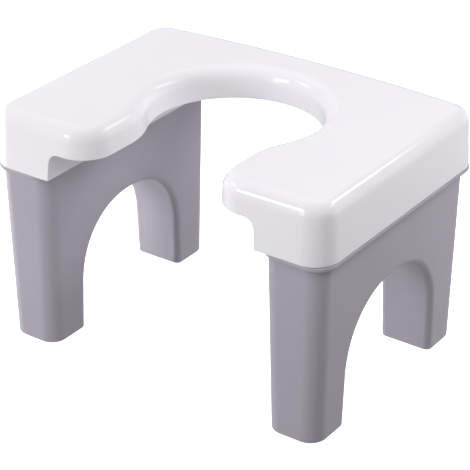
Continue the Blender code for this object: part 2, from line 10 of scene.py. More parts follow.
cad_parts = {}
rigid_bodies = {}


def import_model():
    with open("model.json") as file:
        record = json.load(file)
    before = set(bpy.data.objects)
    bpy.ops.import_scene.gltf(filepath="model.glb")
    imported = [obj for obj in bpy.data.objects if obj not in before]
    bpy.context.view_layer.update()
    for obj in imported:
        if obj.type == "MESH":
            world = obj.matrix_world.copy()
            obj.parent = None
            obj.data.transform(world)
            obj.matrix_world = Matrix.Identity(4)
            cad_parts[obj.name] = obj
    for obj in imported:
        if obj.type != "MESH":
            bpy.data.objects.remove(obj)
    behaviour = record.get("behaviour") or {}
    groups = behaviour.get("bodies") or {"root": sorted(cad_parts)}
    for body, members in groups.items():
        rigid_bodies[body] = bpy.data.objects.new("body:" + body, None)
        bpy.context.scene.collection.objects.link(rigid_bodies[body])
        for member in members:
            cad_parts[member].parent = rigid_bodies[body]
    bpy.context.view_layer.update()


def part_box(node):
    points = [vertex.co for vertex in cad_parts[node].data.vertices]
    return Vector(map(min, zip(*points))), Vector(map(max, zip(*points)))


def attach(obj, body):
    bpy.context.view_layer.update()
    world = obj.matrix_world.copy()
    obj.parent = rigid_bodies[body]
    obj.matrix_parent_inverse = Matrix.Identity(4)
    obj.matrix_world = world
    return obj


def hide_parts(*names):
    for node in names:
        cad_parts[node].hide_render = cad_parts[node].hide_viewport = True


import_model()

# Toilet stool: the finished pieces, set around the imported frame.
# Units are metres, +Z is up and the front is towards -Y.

bl_info = {
    "name": "Toilet stool",
    "version": (1, 0, 0),
    "blender": (4, 5, 0),
    "location": "3D View > Sidebar > Stool",
    "description": "Models a keyhole seat on two arched legs, with its pads, screws and studio",
    "category": "Object",
}

SEAT_LOW, SEAT_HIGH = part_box("seat_shell")
LEG_LOW, LEG_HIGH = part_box("right_leg")
SCREW_LOW, SCREW_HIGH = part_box("right_front_screw")

# How close two points are when they are one, the side of a seed face, and how far a cutter overruns
MERGE = 0.00001
SEED = 0.001
OVERRUN = 0.010
# Steps round a turned piece and a hole, and across the rounding of a rim, an arch and the hump over it
ROUND_STEPS = 32
HOLE_STEPS = 24
RIM_STEPS = 3
ARCH_STEPS = 10
HUMP_STEPS = 4
# Angles of the steps across a small quarter round
QUARTER = tuple(pi / 8 * step for step in range(5))
# Angle from which an edge is rounded, angle from which it is shaded as a crease, and how much of its
# normal a face that looks sideways has along X
SHARP = radians(50)
CREASE = radians(30)
SIDEWAYS = 0.9
# How deep a thread's ridge is sunk in, and where its crest and its end are as shares of the pitch
SINK = MERGE * 10
CREST_SHARE = 0.4
END_SHARE = 0.8
# Part of a noise over which a colour changes, and how far a roughness varies, as shares of itself
NOISE_LOW, NOISE_HIGH = 0.3, 0.7
SMOOTHER, ROUGHER = 0.9, 1.1
# How many times the floor's size the camera can see
SIGHT = 10

# How far away lamps stand, and their colours
FAR = 2.5
NEAR = 1.1
CLOSE = 0.75
NEUTRAL = (1.0, 1.0, 1.0)
WARM = (1.0, 0.89, 0.89)
# Glows all round: azimuth from the front towards the right, elevation, narrowness and strength
GLOWS = (
    (180, 5, 8, 0.49),
    (150, 5, 8, 0.11),
    (120, 5, 8, 0.58),
    (0, 5, 8, 0.05),
    (-30, 5, 8, 0.58),
    (-120, 5, 8, 0.75),
    (0, -90, 2, 0.8),
)
# Softboxes that shiny plastic mirrors: name, azimuth, elevation, roll, width, height and power
SOFTBOXES = (
    ("front_softbox", -26, 27, 0, 0.75, 0.5, 9.5),
    ("front_left_softbox", -33, 27, 0, 0.35, 0.35, 5.0),
    ("front_low_softbox", -17, 10.5, 0, 0.5, 0.3, 4.0),
    ("left_softbox", -68, 35, -31, 0.3, 0.6, 3.0),
    ("back_right_softbox", 138, 38, 0, 1.4, 0.35, 8.5),
)
# Fills that nothing mirrors: the same, then distance and colour
FILLS = (
    ("front_low_fill", -14, 10, 0, 0.5, 0.3, 5.1, FAR, NEUTRAL),
    ("front_high_fill", -30, 60, 0, 0.4, 0.4, 1.1, FAR, NEUTRAL),
    ("right_low_fill", 60, 15, 0, 0.4, 0.4, 2.6, FAR, WARM),
    ("right_fill", 90, 25, 0, 0.4, 0.4, 2.1, FAR, WARM),
    ("left_top_fill", -90, 45, 0, 0.5, 0.5, 3.8, NEAR, NEUTRAL),
    ("front_top_fill", 30, 45, 0, 0.5, 0.5, 1.8, NEAR, NEUTRAL),
    ("right_top_fill", 70, 45, 0, 0.5, 0.5, 1.9, NEAR, NEUTRAL),
    ("back_right_top_fill", 120, 45, 0, 0.5, 0.5, 2.3, NEAR, NEUTRAL),
    ("back_top_fill", 180, 45, 0, 0.5, 0.5, 2.5, NEAR, NEUTRAL),
    ("left_foot_fill", -75, -10, 0, 0.3, 0.1, 3.4, CLOSE, NEUTRAL),
    ("front_foot_fill", -15, -10, 0, 0.3, 0.1, 0.5, CLOSE, NEUTRAL),
    ("back_foot_fill", 140, -10, 0, 0.3, 0.1, 1.4, CLOSE, NEUTRAL),
)


def length(name, description, default):
    """A size in metres that a user may change."""
    return FloatProperty(name=name, description=description, default=default, min=0.0, precision=5,
                         unit="LENGTH", subtype="DISTANCE")


def turn(name, description, degrees):
    """An angle that a user may change."""
    return FloatProperty(name=name, description=description, default=radians(degrees), unit="ROTATION",
                         subtype="ANGLE")


def colour(name, description, default):
    """A surface colour."""
    return FloatVectorProperty(name=name, description=description, default=default, size=3, min=0.0,
                               max=1.0, subtype="COLOR")


def share(name, description, default):
    """A number without a unit."""
    return FloatProperty(name=name, description=description, default=default, min=0.0)


def count(name, description, default):
    """A whole number."""
    return IntProperty(name=name, description=description, default=default, min=1)


class SeatSizes(PropertyGroup):
    """Sizes of the seat moulding."""

    skirt_depth: length("Skirt depth", "From the seat's top to the skirt's foot", SEAT_HIGH.z - SEAT_LOW.z)
    lip_depth: length("Lip depth", "From the seat's top to the lip's lower edge", 0.0365)
    lip_fall: length("Lip fall", "Fall of the lip's lower edge from front to back", 0.0026)
    corner_radius: length("Corner radius", "Radius of the four corners at the skirt's foot", 0.0308)
    edge_radius: length("Edge radius", "Radius of the rounded top edge", 0.0174)
    back_radius: length("Back radius", "Radius of the swept back edge", 1.886)
    draft: turn("Draft", "Slope of the skirt and the lip", 3.1)
    hole_radius: length("Hole radius", "Radius of the keyhole at the lip's lower edge", 0.1003)
    hole_y: FloatProperty(name="Hole middle", description="Y of the middle of the keyhole's round part",
                          default=-0.0021, precision=5, unit="LENGTH")
    neck_half_width: length("Half neck", "Half the width of the keyhole's neck", 0.078)
    arm_side_radius: length("Arm side radius", "Curve between the round part and the neck", 0.095)
    arm_corner_radius: length("Arm corner radius", "Curve between the neck and the front", 0.039)
    socket_width: length("Socket width", "Width of the socket over each leg, at its foot", 0.087)
    span_corner_radius: length("Span corner radius", "Corner between a socket and the lip", 0.013)
    rim_radius: length("Rim radius", "Radius of the lower edges", 0.0014)
    wall: length("Wall", "Thickness of the moulding", 0.003)
    rib_thickness: length("Rib thickness", "Thickness of the ribs underneath", 0.0024)
    rib_pitch: length("Rib pitch", "Step between the ribs across the seat", 0.044)
    back_rib_pitch: length("Back rib pitch", "Step between the ribs through the back", 0.034)
    arm_rib_setback: length("Arm rib setback", "From the socket to the rib along each arm", 0.0188)
    rib_recess: length("Rib recess", "How far the ribs stay above the lower edges", 0.003)
    boss_wall: length("Boss wall", "Wall of the bosses that take the screws", 0.0044)
    locator_spread: length("Locator spread", "From the leg's middle to its locating ribs", 0.015)
    ribs_each_way: count("Ribs each way", "Ribs on each side of the middle rib across the seat", 3)
    back_ribs_each_way: count("Back ribs each way", "Ribs on each side of the middle one at the back", 2)


class LegSizes(PropertyGroup):
    """Sizes of a leg tub."""

    front_setback: length("Front setback", "From the skirt's foot to the leg at the front", 0.0065)
    back_setback: length("Back setback", "From the lip to the leg at the back", 0.0219)
    side_setback: length("Side setback", "From the skirt's foot to the leg's outer face", 0.0064)
    clearance: length("Clearance", "Between the socket's inner wall and the leg", 0.003)
    side_taper: length("Side taper", "How far each side draws in at the floor", 0.0045)
    end_taper: length("End taper", "How far each end draws in at the floor", 0.0024)
    outer_corner: length("Outer corner", "Radius of the two outer corners", 0.0205)
    inner_corner: length("Inner corner", "Radius of the two inner corners", 0.0188)
    flange_thickness: length("Flange thickness", "Thickness of the rim under the skirt", 0.0052)
    flange_front: length("Flange front", "From the skirt's foot to the rim at the front", 0.0014)
    flange_back: length("Flange back", "From the skirt's foot to the rim at the back", 0.001)
    flange_side: length("Flange side", "From the skirt's foot to the rim at the side", 0.0003)
    flange_span: length("Flange span", "From the socket to the rim on the inner side", 0.002)
    flange_outer_corner: length("Flange outer corner", "Radius of the rim's outer corners", 0.026)
    flange_inner_corner: length("Flange inner corner", "Radius of the rim's inner corners", 0.025)
    flange_edge: length("Flange edge", "Radius of the rim's edges", 0.0016)
    spigot_height: length("Spigot height", "How far the leg reaches into the socket", 0.030)
    spigot_step: length("Spigot step", "Step of the wall above the rim", 0.0012)
    foot_edge: length("Foot edge", "Radius of the lower edge of the feet", 0.0015)
    foot_length: length("Foot length", "From the leg's end to its arch", 0.0621)
    arch_rise: length("Arch rise", "Height of the arch's curved part", 0.0911)
    arch_height: length("Arch height", "From the floor to the crown of the arch", 0.1477)
    arch_draft: length("Arch draft", "How far the arch widens at the floor", 0.0016)
    arch_roundness: share("Arch roundness", "Power of the arch's curve, 2 for an ellipse", 2.2)
    arch_edge: length("Arch edge", "Radius of the arch's edges", 0.008)
    wall: length("Wall", "Thickness of the leg's wall", 0.003)
    arch_wall: length("Arch wall", "Thickness over the arch", 0.0034)
    floor: length("Floor", "Thickness of a foot's floor", 0.004)
    rib_thickness: length("Rib thickness", "Thickness of the ribs inside", 0.0024)
    rib_recess: length("Rib recess", "How far the ribs stay under the leg's top", 0.004)
    well_clearance: length("Well clearance", "Round the screw's head in its well", 0.0021)
    well_wall: length("Well wall", "Wall of a screw's well", 0.0025)
    well_web: length("Well web", "Thickness of the web under a screw's head", 0.004)


class PadSizes(PropertyGroup):
    """Sizes of a foot pad."""

    margin: length("Margin", "From the foot's edge to the pad", 0.009)
    corner: length("Corner", "Radius of the pad's corners", 0.008)
    recess: length("Recess", "Depth of the recess that holds it", 0.0014)
    standout: length("Standout", "How far the pad stands below the foot", LEG_LOW.z)
    edge: length("Edge", "Radius of the pad's lower edge", 0.0005)
    groove_width: length("Groove width", "Width of the grip grooves", 0.0012)
    groove_depth: length("Groove depth", "Depth of the grip grooves", 0.0004)
    groove_pitch: length("Groove pitch", "Step between the grip grooves", 0.0045)
    grooves_each_way: count("Grooves each way", "Grooves on each side of the middle one", 3)
    peg_radius: length("Peg radius", "Radius of the pegs", 0.0026)
    peg_lip: length("Peg lip", "How far a peg's head stands out", 0.001)
    peg_head: length("Peg head", "Height of a peg's head", 0.0024)
    peg_spread: length("Peg spread", "From the pad's middle to a peg", 0.012)


class ScrewSizes(PropertyGroup):
    """Sizes of a fixing screw."""

    radius: length("Radius", "Radius over the thread", 0.0015)
    root_radius: length("Root radius", "Radius under the thread", 0.0011)
    tip_length: length("Tip length", "Length of the point", 0.0025)
    tip_radius: length("Tip radius", "Radius at the point", 0.0004)
    head_radius: length("Head radius", "Radius of the head", 0.003)
    head_height: length("Head height", "Height of the head", 0.0022)
    head_crown: length("Head crown", "Rounding of the head", 0.0009)
    pitch: length("Pitch", "Pitch of the thread", 0.0013)
    slot_width: length("Slot width", "Width of the cross recess", 0.0008)
    slot_reach: length("Slot reach", "Half the length of the cross recess", 0.0017)
    slot_depth: length("Slot depth", "Depth of the cross recess", 0.0013)
    plain_length: length("Plain length", "From the head to the start of the thread", 0.0025)
    turns: count("Turns", "Turns of the thread", 14)
    thread_steps: count("Thread steps", "Steps in one turn of the thread", 18)


class Finishes(PropertyGroup):
    """Colours and textures."""

    white: colour("White", "Glossy white of the seat", (0.890, 0.873, 0.919))
    white_roughness: share("White roughness", "Roughness of the seat", 0.11)
    grey: colour("Grey", "Satin grey of the legs", (0.432, 0.407, 0.466))
    grey_roughness: share("Grey roughness", "Roughness of the legs", 0.42)
    rubber: colour("Rubber", "Dark grey of the pads", (0.06, 0.06, 0.065))
    steel: colour("Steel", "Zinc plated steel of the screws", (0.62, 0.63, 0.65))


class Studio(PropertyGroup):
    """Camera, floor and lights."""

    azimuth: turn("Azimuth", "Direction of the camera, from the front towards the right", 35.2604)
    elevation: turn("Elevation", "Height of the camera as an angle", 28.1264)
    roll: turn("Roll", "Turn of the camera about its view", -0.113)
    distance: length("Distance", "From the camera to the point that it looks at", 2.1495)
    target: FloatVectorProperty(name="Target", description="Point that the camera looks at",
                                default=(0.0012, -0.0041, 0.1272), size=3, subtype="TRANSLATION")
    lens: FloatProperty(name="Lens", description="Focal length in millimetres", default=142.576)
    floor_size: length("Floor size", "Side of the floor", 12.0)
    light_height: length("Light height", "Height of the point that the lights face", 0.2)


class StoolSettings(PropertyGroup):
    """All that a user may change."""

    facet: turn("Facet", "Angle of one step along a round edge", 3.0)
    flatness: length("Flatness", "How far a step may stray from a true arc", 0.00002)
    edge_steps: count("Edge steps", "Steps round the seat's top edge", 12)
    seat: PointerProperty(type=SeatSizes)
    leg: PointerProperty(type=LegSizes)
    pad: PointerProperty(type=PadSizes)
    screw: PointerProperty(type=ScrewSizes)
    finish: PointerProperty(type=Finishes)
    studio: PointerProperty(type=Studio)


def settings():
    """The settings kept with the scene."""
    return bpy.context.scene.stool


def activate(item):
    """Make an object the only one selected."""
    bpy.ops.object.select_all(action="DESELECT")
    item.select_set(True)
    bpy.context.view_layer.objects.active = item


def discard(*items):
    """Delete objects that have done their work."""
    bpy.ops.object.select_all(action="DESELECT")
    for item in items:
        item.select_set(True)
    bpy.ops.object.delete()


def open_mesh(item):
    """Edit an object's mesh."""
    activate(item)
    bpy.ops.object.mode_set(mode="EDIT")


def weld():
    """Make one of all points of the open mesh that lie together."""
    bpy.ops.mesh.select_all(action="SELECT")
    bpy.ops.mesh.remove_doubles(threshold=MERGE)


def close_mesh():
    """Leave edit mode with whole, outward faces."""
    weld()
    bpy.ops.mesh.normals_make_consistent(inside=False)
    bpy.ops.object.mode_set(mode="OBJECT")


def cap_mesh():
    """Fill the open ends and leave edit mode."""
    bpy.ops.mesh.select_all(action="SELECT")
    bpy.ops.mesh.fill_holes(sides=0)
    close_mesh()


def new_mesh(name):
    """Start an empty mesh at the origin, open for editing."""
    bpy.ops.object.select_all(action="DESELECT")
    bpy.ops.mesh.primitive_plane_add(size=SEED)
    item = bpy.context.object
    item.name = name
    item.data.name = name
    bpy.ops.object.mode_set(mode="EDIT")
    bpy.ops.mesh.select_mode(type="VERT")
    bpy.ops.mesh.delete(type="VERT")
    return item


def choose_edges(test):
    """Select the edges of the open mesh that pass a test."""
    bpy.ops.mesh.select_mode(type="EDGE")
    bpy.ops.mesh.select_all(action="DESELECT")
    mesh = bpy.context.edit_object.data
    shape = bmesh.from_edit_mesh(mesh)
    for line in shape.edges:
        if test(line):
            line.select_set(True)
    shape.select_flush_mode()
    bmesh.update_edit_mesh(mesh)


def seed(point):
    """Add one vertex to the open mesh, to be drawn on from."""
    bpy.ops.mesh.select_all(action="DESELECT")
    bpy.ops.mesh.primitive_plane_add(size=SEED)
    bpy.ops.mesh.merge(type="CENTER")
    bpy.ops.transform.translate(value=point)


def run(start, end):
    """Draw on from the last vertex by a straight edge."""
    step = Vector(end) - Vector(start)
    if step.length > MERGE:
        bpy.ops.mesh.extrude_region_move(TRANSFORM_OT_translate={"value": step})


def draw_path(points):
    """Draw a line of straight edges."""
    seed(points[0])
    for start, end in zip(points, points[1:]):
        run(start, end)


def draw_loop(points):
    """Draw a closed line of straight edges and select it."""
    draw_path(points)
    run(points[-1], points[0])
    weld()


def arc_step(radius):
    """Angle of one step along an arc: small enough to look round and to stay on it."""
    return min(settings().facet, 2 * acos(1 - settings().flatness / radius))


def draw_outline(strokes, z):
    """Draw a closed outline at a height: arcs of (centre, radius, first, last angle), joined by lines."""
    def at(stroke, angle):
        (x, y), radius = stroke[:2]
        return x + radius * cos(angle), y + radius * sin(angle), z

    begin = here = at(strokes[0], strokes[0][2])
    seed(begin)
    for stroke in strokes:
        (x, y), _, first, last = stroke
        run(here, at(stroke, first))
        steps = max(2, ceil(abs(last - first) / arc_step(stroke[1])))
        bpy.ops.mesh.spin(steps=steps, angle=first - last, center=(x, y, z), axis=(0, 0, 1))
        here = at(stroke, last)
    run(here, begin)
    bpy.ops.mesh.select_linked()
    bpy.ops.mesh.remove_doubles(threshold=MERGE)


def inset(thickness, depth):
    """Draw the chosen face in by a thickness and move it on by a depth."""
    bpy.ops.mesh.inset(thickness=thickness, depth=depth, use_boundary=True, use_even_offset=True,
                       use_relative_offset=False)


def raised(name, strokes_at, profile):
    """A solid from an outline drawn in step by step, along (offset, height) pairs from its widest one."""
    item = new_mesh(name)
    offset, z = profile[0]
    draw_outline(strokes_at(offset), z)
    bpy.ops.mesh.edge_face_add()
    upwards = profile[-1][1] > z
    face = bmesh.from_edit_mesh(item.data).faces[:][0]
    if (face.normal.z > 0) != upwards:
        bpy.ops.mesh.flip_normals()
    for next_offset, next_z in profile[1:]:
        inset(offset - next_offset, abs(next_z - z))
        offset, z = next_offset, next_z
    cap_mesh()
    return item


def extruded(name, points, reach):
    """A solid from a closed line of points that is drawn out by a reach."""
    item = new_mesh(name)
    draw_loop(points)
    bpy.ops.mesh.edge_face_add()
    bpy.ops.mesh.extrude_region_move(TRANSFORM_OT_translate={"value": reach})
    close_mesh()
    return item


def bridged(name, outlines):
    """A solid through outlines with as many points each, given as (strokes, height)."""
    item = new_mesh(name)
    for strokes, z in outlines:
        draw_outline(strokes, z)
    bpy.ops.mesh.select_all(action="SELECT")
    bpy.ops.mesh.bridge_edge_loops()
    cap_mesh()
    return item


def straight(radius, low, high):
    """The profile of a round bar between two heights."""
    return [(radius, low), (radius, high)]


def lathe(name, centre, profile, steps):
    """A solid spun from (radius, height) pairs about an upright axis."""
    item = new_mesh(name)
    x, y = centre
    draw_path([(x + radius, y, z) for radius, z in profile])
    bpy.ops.mesh.select_all(action="SELECT")
    bpy.ops.mesh.spin(steps=steps, angle=2 * pi, center=(x, y, 0), axis=(0, 0, 1))
    weld()
    cap_mesh()
    return item


def block(name, low, high):
    """A box between two corners, for cutting with."""
    low, high = Vector(low), Vector(high)
    bpy.ops.mesh.primitive_cube_add(size=1, location=(low + high) / 2, scale=high - low)
    item = bpy.context.object
    item.name = name
    bpy.ops.object.transform_apply(location=True, rotation=True, scale=True)
    return item


def apply_modifier(item, kind, **values):
    """Add a modifier, set it and apply it."""
    activate(item)
    bpy.ops.object.modifier_add(type=kind)
    step = item.modifiers[-1]
    for name, value in values.items():
        setattr(step, name, value)
    bpy.ops.object.modifier_apply(modifier=step.name)


def cut(item, operation, *tools):
    """Join, cut or keep an object by others, which are then deleted."""
    for tool in tools:
        apply_modifier(item, "BOOLEAN", operation=operation, solver="EXACT", object=tool)
    discard(*tools)
    return item


def cut_by_group(item, operation, tools):
    """Cut an object by a group whose members may run through each other."""
    group = bpy.data.collections.new("cutters")
    for tool in tools:
        group.objects.link(tool)
    apply_modifier(item, "BOOLEAN", operation=operation, solver="EXACT", operand_type="COLLECTION",
                   collection=group)
    discard(*tools)
    bpy.data.collections.remove(group)
    return item


def bevel(width, steps):
    """Round the chosen edges."""
    bpy.ops.mesh.bevel(offset=width, offset_type="OFFSET", segments=steps, profile=0.5, affect="EDGES",
                       clamp_overlap=False, loop_slide=False)


def bevel_sharp(width):
    """Round the sharp edges of the open mesh."""
    bpy.ops.mesh.select_mode(type="EDGE")
    bpy.ops.mesh.select_all(action="DESELECT")
    bpy.ops.mesh.edges_select_sharp(sharpness=SHARP)
    bevel(width, RIM_STEPS)


def mirror_of(item, name):
    """A copy with its own mesh on the other side, mirrored across X."""
    activate(item)
    bpy.ops.object.duplicate()
    twin = bpy.context.object
    twin.name = name
    twin.data.name = name
    open_mesh(twin)
    bpy.ops.mesh.select_all(action="SELECT")
    bpy.ops.transform.resize(value=(-1, 1, 1), orient_type="GLOBAL", center_override=(0, 0, 0))
    close_mesh()
    return twin


def present(item, surface, slot, *nodes):
    """Shade a finished piece, give it its surface and let it stand for its nodes of the frame."""
    if not item.data.polygons:
        raise RuntimeError(f"{item.name} has no faces")
    activate(item)
    bpy.ops.object.shade_smooth_by_angle(angle=CREASE)
    apply_modifier(item, "WEIGHTED_NORMAL", keep_sharp=True, weight=50, mode="FACE_AREA")
    item.data.materials.clear()
    item.data.materials.append(surface)
    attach(item, "root")
    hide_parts(*nodes)


def present_pair(right, left_name, surface, slot, node):
    """Finish a piece of the right side and its copy on the left."""
    left = mirror_of(right, left_name)
    present(right, surface, slot, f"right_{node}")
    present(left, surface, slot, f"left_{node}")


def present_four(make, piece, places, surface, slot, node):
    """Make and finish the front and the back piece of both sides."""
    for end, y in zip(("front", "back"), places):
        right = make(f"right_{end}_{piece}", y)
        present_pair(right, f"left_{end}_{piece}", surface, slot, f"{end}_{node}")


def half_width():
    """Half the seat's width, at the skirt's foot."""
    return SEAT_HIGH.x


def lip_bottom():
    """Height of the lip's lower edge, halfway along its fall."""
    return SEAT_HIGH.z - settings().seat.lip_depth


def skirt_bottom():
    """Height of the skirt's foot."""
    return SEAT_HIGH.z - settings().seat.skirt_depth


def rim_bottom():
    """Height of the underside of the leg's rim."""
    s = settings().leg
    return LEG_HIGH.z - s.spigot_height - s.flange_thickness


def fit_gap():
    """The gap between pieces that fit together, such as the skirt and the leg's rim."""
    return SEAT_LOW.z - (LEG_HIGH.z - settings().leg.spigot_height)


def taper(z):
    """How far the drafted skirt and lip stand out at a height, against the lip's lower edge."""
    return (lip_bottom() - z) * tan(settings().seat.draft)


def front_y():
    """Y of the front of the skirt's foot."""
    return SEAT_LOW.y


def back_y():
    """Y of the back of the skirt's foot, if the skirt ran right across."""
    s = settings().seat
    return -SEAT_LOW.y + taper(skirt_bottom()) - s.lip_fall / 2 * tan(s.draft)


def span_half_width():
    """Half the width between the sockets, at the skirt's foot."""
    return half_width() - settings().seat.socket_width


def span_top_half_width():
    """Half the width between the sockets, at the lip."""
    return span_half_width() - taper(skirt_bottom())


def back_corner(x, reach):
    """Centre of a corner that runs into the swept back, a reach away from it, and its closing angle."""
    radius = settings().seat.back_radius
    sweep_y = back_y() - radius
    y = sweep_y + sqrt((radius - reach) ** 2 - x ** 2)
    return (x, y), atan2(y - sweep_y, x)


def mirrored(stroke):
    """An arc on the other side, drawn the other way."""
    (x, y), radius, first, last = stroke
    return (-x, y), radius, pi - last, pi - first


def seat_strokes(offset):
    """The seat's outline with its keyhole, moved out from the lip's lower edge by an offset."""
    s = settings().seat
    flare = taper(skirt_bottom())
    side_x = s.neck_half_width + s.arm_side_radius
    reach = s.hole_radius + s.arm_side_radius
    drop = sqrt(reach ** 2 - side_x ** 2)
    lean = asin(drop / reach)
    corner_x = half_width() - s.corner_radius
    corner, close = back_corner(corner_x, s.corner_radius)
    radius = s.corner_radius - flare + offset
    arm = (s.neck_half_width + s.arm_corner_radius, front_y() + flare + s.arm_corner_radius)
    half = [
        ((0, s.hole_y), s.hole_radius - offset, pi / 2, -lean),
        ((side_x, s.hole_y - drop), s.arm_side_radius + offset, pi - lean, pi),
        (arm, s.arm_corner_radius + offset, -pi, -pi / 2),
        ((corner_x, front_y() + s.corner_radius), radius, -pi / 2, 0),
        (corner, radius, 0, close),
    ]
    back = ((0, back_y() - s.back_radius), s.back_radius - flare + offset, close, pi - close)
    return half + [back] + [mirrored(stroke) for stroke in reversed(half)]


def edge_profile(wall):
    """Offsets and heights up the rounded top edge, a wall's thickness inside the surface."""
    radius = settings().seat.edge_radius
    steps = settings().edge_steps
    start = SEAT_HIGH.z - radius
    centre = taper(start) - radius
    angles = [pi / 2 * step / steps for step in range(steps + 1)]
    return [(centre + (radius - wall) * cos(a), start + (radius - wall) * sin(a)) for a in angles]


def rounded_strokes(low, high, low_radius, high_radius):
    """A rounded rectangle between two corners, with one radius on its low side and one on its high side."""
    (x0, y0), (x1, y1) = low, high
    return [
        ((x1 - high_radius, y0 + high_radius), high_radius, -pi / 2, 0),
        ((x1 - high_radius, y1 - high_radius), high_radius, 0, pi / 2),
        ((x0 + low_radius, y1 - low_radius), low_radius, pi / 2, pi),
        ((x0 + low_radius, y0 + low_radius), low_radius, pi, 3 * pi / 2),
    ]


def leg_faces(z, inward=0.0):
    """The leg's low and high corner at a height, moved in by a distance."""
    s = settings().leg
    depth = (rim_bottom() - z) / rim_bottom()
    low_x = span_half_width() + settings().seat.wall + s.clearance + s.side_taper * depth
    high_x = half_width() - s.side_setback - s.side_taper * depth
    low_y = front_y() + s.front_setback + s.end_taper * depth
    high_y = -front_y() - s.back_setback - s.end_taper * depth
    return (low_x + inward, low_y + inward), (high_x - inward, high_y - inward)


def leg_strokes(z, inward=0.0):
    """The leg's outline at a height, moved in by a distance."""
    s = settings().leg
    low, high = leg_faces(z, inward)
    return rounded_strokes(low, high, s.inner_corner - inward, s.outer_corner - inward)


def leg_middle():
    """X and Y of the leg's middle."""
    (x0, y0), (x1, y1) = leg_faces(0)
    return (x0 + x1) / 2, (y0 + y1) / 2


def screw_places():
    """Y of the front and the back screw."""
    _, y = leg_middle()
    pitch = settings().seat.rib_pitch
    return y - pitch, y + pitch


def arch_half_width():
    """Half the width of the arch, where its curve starts."""
    s = settings().leg
    return (-2 * front_y() - s.front_setback - s.back_setback) / 2 - s.foot_length


def arch_spring():
    """Height at which the arch's curve starts."""
    s = settings().leg
    return s.arch_height - s.arch_rise


def foot_centres():
    """Y of the middle of the front and the back foot."""
    (_, low), (_, high) = leg_faces(0)
    _, middle = leg_middle()
    inner = arch_half_width() + settings().leg.arch_draft
    outer = (high - low) / 2
    return middle - (inner + outer) / 2, middle + (inner + outer) / 2


def seat_hollow(name, low_x, high_x):
    """The space inside the seat's walls, between two places along X."""
    s = settings().seat
    bottom = skirt_bottom() - OVERRUN
    profile = [(taper(bottom) - s.wall, bottom)] + edge_profile(s.wall)
    hollow = raised(name, seat_strokes, profile)
    reach = back_y() + OVERRUN
    limit = block("limit", (low_x, -reach, bottom - OVERRUN), (high_x, reach, SEAT_HIGH.z))
    return cut(hollow, "INTERSECT", limit)


def cross_rib_places():
    """Y of the ribs across the seat."""
    s = settings().seat
    _, y = leg_middle()
    return [y + s.rib_pitch * step for step in range(-s.ribs_each_way, s.ribs_each_way + 1)]


def span_ribs():
    """Ribs under the seat between the sockets: across it, along each arm and through the back."""
    s = settings().seat
    low, high = lip_bottom() + s.rib_recess, SEAT_HIGH.z
    half = s.rib_thickness / 2
    reach = back_y() + OVERRUN
    side = span_half_width() + s.wall
    ribs = [block("rib", (-side, y - half, low), (side, y + half, high)) for y in cross_rib_places()]
    arm = span_half_width() - s.arm_rib_setback
    for x in (-arm, arm):
        ribs.append(block("rib", (x - half, -reach, low), (x + half, reach, high)))
    for step in range(-s.back_ribs_each_way, s.back_ribs_each_way + 1):
        x = s.back_rib_pitch * step
        ribs.append(block("rib", (x - half, s.hole_y, low), (x + half, reach, high)))
    return ribs


def socket_ribs():
    """Ribs, screw bosses and locating ribs inside the right socket."""
    s = settings().seat
    fit = fit_gap()
    bearing = LEG_HIGH.z + fit
    top = SEAT_HIGH.z
    half = s.rib_thickness / 2
    inner, outer = span_half_width(), half_width() + OVERRUN
    reach = back_y() + OVERRUN
    middle, _ = leg_middle()
    (x0, y0), (x1, y1) = leg_faces(LEG_HIGH.z, settings().leg.spigot_step - fit)
    ribs = [block("rib", (inner, y - half, bearing), (outer, y + half, top)) for y in cross_rib_places()]
    ribs.append(block("rib", (middle - half, -reach, bearing), (middle + half, reach, top)))
    foot = skirt_bottom() + s.rib_recess
    for x in (middle - s.locator_spread, middle + s.locator_spread):
        ribs.append(block("rib", (x - half, -reach, foot), (x + half, y0, top)))
        ribs.append(block("rib", (x - half, y1, foot), (x + half, reach, top)))
    boss = straight(settings().screw.radius + s.boss_wall, bearing, top)
    for y in screw_places():
        ribs.append(block("rib", (inner, y - half, foot), (x0, y + half, top)))
        ribs.append(block("rib", (x1, y - half, foot), (outer, y + half, top)))
        ribs.append(lathe("boss", (middle, y), boss, ROUND_STEPS))
    return ribs


def span_block():
    """The space between the sockets, up to the lip's lower edge, with drafted sides and round corners."""
    s = settings().seat
    radius = s.span_corner_radius
    x = span_top_half_width() - radius * (1 - sin(s.draft)) / cos(s.draft)
    z = lip_bottom() - radius
    reach = back_y() + OVERRUN
    fall = s.lip_fall * reach / back_y()
    foot = skirt_bottom() - OVERRUN
    steps = ceil(pi / 2 / settings().facet)
    angles = [pi / 2 + (s.draft - pi / 2) * step / steps for step in range(steps + 1)]
    half = [(x + radius * cos(a), z + radius * sin(a)) for a in angles]
    half.append((span_top_half_width() + taper(foot), foot))
    points = [(x, -reach, z + fall / 2) for x, z in [(-x, z) for x, z in reversed(half)] + half]
    return extruded("span", points, (0, 2 * reach, -fall))


